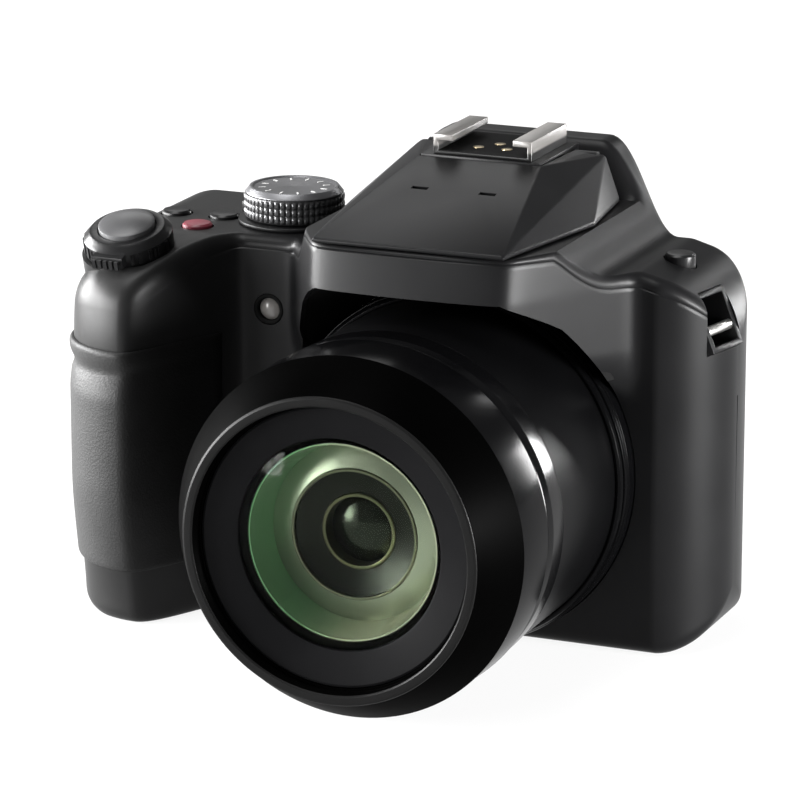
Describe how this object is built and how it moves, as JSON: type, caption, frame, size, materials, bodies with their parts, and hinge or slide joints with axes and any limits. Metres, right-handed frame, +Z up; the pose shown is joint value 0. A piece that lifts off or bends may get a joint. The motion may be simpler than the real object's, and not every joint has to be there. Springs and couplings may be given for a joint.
{
  "type": "bridge camera",
  "caption": "Bridge camera with a collapsing zoom lens, pop-up flash, accessory shoe, eye-level viewfinder, rear display and a deep rubber-covered grip.",
  "frame": {"origin": "centre of the tripod socket's mouth, on the base plane under the optical axis", "axes": "+Z up from the base, the lens looks along -Y, +X towards the side opposite the grip (the grip is at -X)"},
  "size_m": [0.131, 0.1192, 0.0978],
  "materials": {
    "cover_black": "fine matte grain",
    "grip_rubber": "leather grain",
    "lens_black": "satin",
    "lens_gloss": "polished",
    "dial_grey": "knurled satin",
    "steel": "brushed",
    "lens_glass": "green coating",
    "window_glass": "clear",
    "screen": "polished",
    "red_button": "satin",
    "board": "solder mask",
    "plated": "plated",
    "cell_grey": "plain"
  },
  "bodies": {
    "camera": {"front_cover": "cover_black", "rear_cover": "cover_black", "top_cover": "cover_black", "grip_rubber": "grip_rubber", "chassis": "steel", "main_board": "board", "lens_base_ring": "lens_black", "fixed_barrel": "lens_black", "barrel_trim_ring": "lens_gloss", "lens_rear_plate": "steel", "relay_lens": "lens_glass", "image_sensor": "lens_glass", "sensor_plate": "steel", "flash_hinge_pins": "steel", "shoe_block": "cover_black", "shoe_rails": "steel", "shoe_contacts": "plated", "display_panel": "cover_black", "display_glass": "screen", "eyecup": "grip_rubber", "viewfinder_lens": "lens_glass", "viewfinder_display": "cover_black", "battery": "cell_grey", "battery_door_pin": "steel", "memory_card": "cell_grey", "terminal_sockets": "steel", "tripod_socket": "steel", "strap_lugs": "steel", "lug_pockets": "cover_black", "focus_lamp_lens": "window_glass"},
    "lens_mid": {"mid_barrel": "lens_black", "iris_ring": "lens_black"},
    "lens_front": {"front_tube": "lens_black", "front_ring": "lens_gloss", "scale_ring": "lens_gloss", "name_ring": "lens_black", "front_element": "lens_glass", "second_element": "lens_glass"},
    "flash": {"flash_lid": "cover_black", "flash_head": "cover_black", "flash_window": "window_glass"},
    "dial": {"mode_dial": "dial_grey"},
    "switch": {"power_switch": "cover_black"},
    "zoom": {"zoom_lever": "cover_black"},
    "shutter": {"shutter_button": "cover_black"},
    "video": {"video_button": "red_button"},
    "drive": {"drive_button": "cover_black"},
    "burst": {"burst_button": "cover_black"},
    "flash_release": {"flash_button": "cover_black"},
    "thumb_dial": {"rear_dial": "cover_black"},
    "diopter": {"diopter_dial": "cover_black"},
    "pad": {"cursor_pad": "cover_black"},
    "set": {"set_button": "cover_black"},
    "play": {"play_button": "cover_black"},
    "view": {"view_button": "cover_black"},
    "lock": {"lock_button": "cover_black"},
    "menu": {"menu_button": "cover_black"},
    "power_door": {"battery_door": "cover_black"},
    "door_latch": {"battery_latch": "cell_grey"},
    "port_door": {"terminal_door": "grip_rubber"}
  },
  "joints": [
    {"name": "lens_mid_slide", "type": "slide", "parent": "camera", "child": "lens_mid", "axis": [0, -1, 0], "range_m": [0, 0.027]},
    {"name": "lens_front_slide", "type": "slide", "parent": "lens_mid", "child": "lens_front", "axis": [0, -1, 0], "range_m": [0, 0.028]},
    {"name": "flash_hinge", "type": "hinge", "parent": "camera", "child": "flash", "pos_m": [0, 0.0125, 0.0916], "axis": [-1, 0, 0], "range_deg": [0, 55]},
    {"name": "mode_dial_turn", "type": "hinge", "parent": "camera", "child": "dial", "pos_m": [-0.042, 0.0005, 0.08], "axis": [0, 0, 1], "continuous": true},
    {"name": "power_switch_turn", "type": "hinge", "parent": "camera", "child": "switch", "pos_m": [-0.042, 0.0005, 0.077], "axis": [0, 0, -1], "range_deg": [0, 30]},
    {"name": "zoom_lever_turn", "type": "hinge", "parent": "camera", "child": "zoom", "pos_m": [-0.0665, -0.024, 0.0741], "axis": [0, -0.2873, 0.9578], "range_deg": [-25, 25], "stiffness_Nm_per_rad": 0.02},
    {"name": "shutter_press", "type": "slide", "parent": "camera", "child": "shutter", "axis": [0, 0.2873, -0.9578], "range_m": [0, 0.0005], "stiffness_N_per_m": 600},
    {"name": "video_press", "type": "slide", "parent": "camera", "child": "video", "axis": [0, 0, -1], "range_m": [0, 0.0005], "stiffness_N_per_m": 600},
    {"name": "drive_press", "type": "slide", "parent": "camera", "child": "drive", "axis": [0, 0, -1], "range_m": [0, 0.0005], "stiffness_N_per_m": 600},
    {"name": "burst_press", "type": "slide", "parent": "camera", "child": "burst", "axis": [0, 0, -1], "range_m": [0, 0.0005], "stiffness_N_per_m": 600},
    {"name": "flash_release_press", "type": "slide", "parent": "camera", "child": "flash_release", "axis": [0, 0, -1], "range_m": [0, 0.0005], "stiffness_N_per_m": 600},
    {"name": "thumb_dial_turn", "type": "hinge", "parent": "camera", "child": "thumb_dial", "pos_m": [-0.066, 0.0155, 0.061], "axis": [0, 0, 1], "continuous": true},
    {"name": "diopter_turn", "type": "hinge", "parent": "camera", "child": "diopter", "pos_m": [0.022, 0.027, 0.074], "axis": [0, 1, 0], "range_deg": [-150, 150]},
    {"name": "pad_press", "type": "slide", "parent": "camera", "child": "pad", "axis": [0, -1, 0], "range_m": [0, 0.0005], "stiffness_N_per_m": 600},
    {"name": "set_press", "type": "slide", "parent": "camera", "child": "set", "axis": [0, -1, 0], "range_m": [0, 0.0005], "stiffness_N_per_m": 600},
    {"name": "play_press", "type": "slide", "parent": "camera", "child": "play", "axis": [0, -1, 0], "range_m": [0, 0.0005], "stiffness_N_per_m": 600},
    {"name": "view_press", "type": "slide", "parent": "camera", "child": "view", "axis": [0, -1, 0], "range_m": [0, 0.0005], "stiffness_N_per_m": 600},
    {"name": "lock_press", "type": "slide", "parent": "camera", "child": "lock", "axis": [0, -1, 0], "range_m": [0, 0.0005], "stiffness_N_per_m": 600},
    {"name": "menu_press", "type": "slide", "parent": "camera", "child": "menu", "axis": [0, -1, 0], "range_m": [0, 0.0005], "stiffness_N_per_m": 600},
    {"name": "battery_door_hinge", "type": "hinge", "parent": "camera", "child": "power_door", "pos_m": [-0.0499, 0.003, 0.00155], "axis": [0, -1, 0], "range_deg": [0, 95]},
    {"name": "battery_latch_slide", "type": "slide", "parent": "power_door", "child": "door_latch", "axis": [0, 1, 0], "range_m": [0, 0.003]},
    {"name": "terminal_door_hinge", "type": "hinge", "parent": "camera", "child": "port_door", "pos_m": [-0.07745, 0.00545, 0.034], "axis": [0, 0, -1], "range_deg": [0, 100]}
  ],
  "couplings": [
    {"joint": "lens_front_slide", "follows": "lens_mid_slide", "ratio": 1.037}
  ]
}
